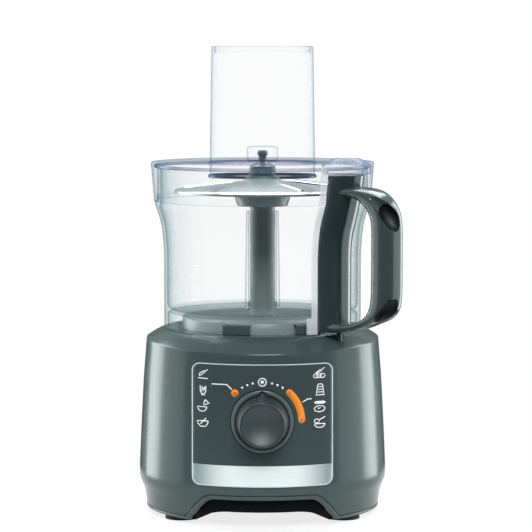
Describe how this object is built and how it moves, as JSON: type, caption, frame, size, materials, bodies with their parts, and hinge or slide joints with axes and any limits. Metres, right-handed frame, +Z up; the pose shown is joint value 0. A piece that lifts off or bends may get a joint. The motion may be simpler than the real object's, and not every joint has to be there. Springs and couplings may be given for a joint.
{
  "type": "food processor",
  "caption": "Compact food processor: round motor base with dial, clear bowl with D handle, slicing disc on a spindle, and clear lid with a wide feed tube.",
  "frame": {"origin": "middle of the footprint's box on the worktop, 3.4 mm right of and 7.9 mm in front of the spindle axis", "axes": "+Z up along the spindle, -Y towards the user and the control panel, +X to the user's right; the handle points to +X -Y"},
  "size_m": [0.2062, 0.219, 0.37],
  "materials": {
    "housing_grey": "glossy moulded plastic, warm grey",
    "trim_grey": "satin moulded plastic",
    "handle_grey": "glossy moulded plastic",
    "under_black": "textured moulded plastic",
    "foot_rubber": "soft matte rubber",
    "buffer_rubber": "soft matte rubber",
    "panel_dark": "satin printed overlay",
    "frame_silver": "bright plated line",
    "strip_silver": "satin silver strip, bare",
    "bezel_dark": "dark moulded ring",
    "dial_dark": "satin moulded plastic",
    "switch_cream": "moulded thermoset",
    "board_green": "glass fibre circuit board",
    "steel": "zinc plated steel",
    "cast_alloy": "die-cast alloy",
    "bronze": "sintered bronze",
    "lamination": "stamped electrical steel",
    "copper": "enamelled copper",
    "carbon": "pressed carbon",
    "capacitor_yellow": "potted case",
    "gland_black": "flexible plastic",
    "belt_rubber": "reinforced rubber",
    "nylon": "natural nylon",
    "ground_steel": "ground steel",
    "fan_black": "moulded plastic",
    "clear_bowl": "clear moulded plastic",
    "clear_lid": "clear moulded plastic",
    "tool_grey": "satin moulded plastic",
    "cap_dark": "satin moulded plastic",
    "disc_steel": "brushed stainless steel",
    "blade_steel": "ground stainless steel"
  },
  "bodies": {
    "base": {"motor_housing": "housing_grey", "base_trim": "trim_grey", "base_plate": "under_black", "rubber_feet": "foot_rubber", "control_panel": "panel_dark", "panel_frame": "frame_silver", "blank_strip": "strip_silver", "dial_bezel": "bezel_dark", "rotary_switch": "switch_cream", "control_board": "board_green", "bearing_plate": "steel", "spindle_bearings": "bronze", "motor_stator": "lamination", "field_windings": "copper", "motor_end_frames": "cast_alloy", "motor_bearings": "bronze", "brush_holders": "bronze", "carbon_brushes": "carbon", "motor_buffers": "buffer_rubber", "motor_screws": "steel", "suppression_capacitor": "capacitor_yellow", "interlock_switch": "switch_cream", "plunger_spring": "steel", "housing_screws": "steel", "cord_gland": "gland_black", "drive_belt": "belt_rubber"},
    "safety_plunger": {"interlock_plunger": "nylon"},
    "dial": {"speed_dial": "dial_dark"},
    "motor_rotor": {"armature_shaft": "ground_steel", "armature_core": "lamination", "commutator": "copper", "cooling_fan": "fan_black", "motor_pulley": "ground_steel"},
    "spindle": {"drive_spindle": "ground_steel", "spindle_pulley": "nylon", "drive_coupling": "ground_steel"},
    "bowl_with_handle": {"bowl": "clear_bowl", "bowl_floor": "clear_bowl", "handle_column": "handle_grey", "bowl_handle": "handle_grey", "rod_spring": "steel"},
    "safety_rod": {"interlock_rod": "nylon"},
    "cutting_tool": {"tool_shaft": "tool_grey", "disc_hub": "tool_grey", "slicing_disc": "disc_steel", "disc_blade": "blade_steel", "shaft_cap": "cap_dark"},
    "lid_with_tube": {"lid": "clear_lid"}
  },
  "joints": [
    {"name": "speed_dial_turn", "type": "hinge", "parent": "base", "child": "dial", "pos_m": [-0.00427, -0.0885, 0.0836], "axis": [0, 1, 0], "range_deg": [-44, 88]},
    {"name": "motor_spin", "type": "hinge", "parent": "base", "child": "motor_rotor", "pos_m": [-0.00427, 0.0579, 0.06], "axis": [0, 0, 1], "continuous": true},
    {"name": "spindle_spin", "type": "hinge", "parent": "base", "child": "spindle", "pos_m": [-0.00427, 0.0079, 0.08], "axis": [0, 0, 1], "continuous": true},
    {"name": "bowl_lift", "type": "slide", "parent": "base", "child": "bowl_with_handle", "axis": [0, 0, 1], "range_m": [0, 0.25]},
    {"name": "tool_spin", "type": "hinge", "parent": "bowl_with_handle", "child": "cutting_tool", "pos_m": [-0.00427, 0.0079, 0.2], "axis": [0, 0, 1], "continuous": true},
    {"name": "lid_lift", "type": "slide", "parent": "bowl_with_handle", "child": "lid_with_tube", "axis": [0, 0, 1], "range_m": [0, 0.15]},
    {"name": "rod_rise", "type": "slide", "parent": "bowl_with_handle", "child": "safety_rod", "axis": [0, 0, 1], "range_m": [0, 0.004], "deforming": ["rod_spring"]},
    {"name": "plunger_rise", "type": "slide", "parent": "base", "child": "safety_plunger", "axis": [0, 0, 1], "range_m": [0, 0.002], "deforming": ["plunger_spring"]}
  ],
  "couplings": [
    {"joint": "spindle_spin", "follows": "motor_spin", "ratio": 0.25},
    {"joint": "tool_spin", "follows": "motor_spin", "ratio": 0.25},
    {"joint": "rod_rise", "follows": "lid_lift", "ratio": 0.0266},
    {"joint": "plunger_rise", "follows": "bowl_lift", "ratio": 0.0079}
  ]
}
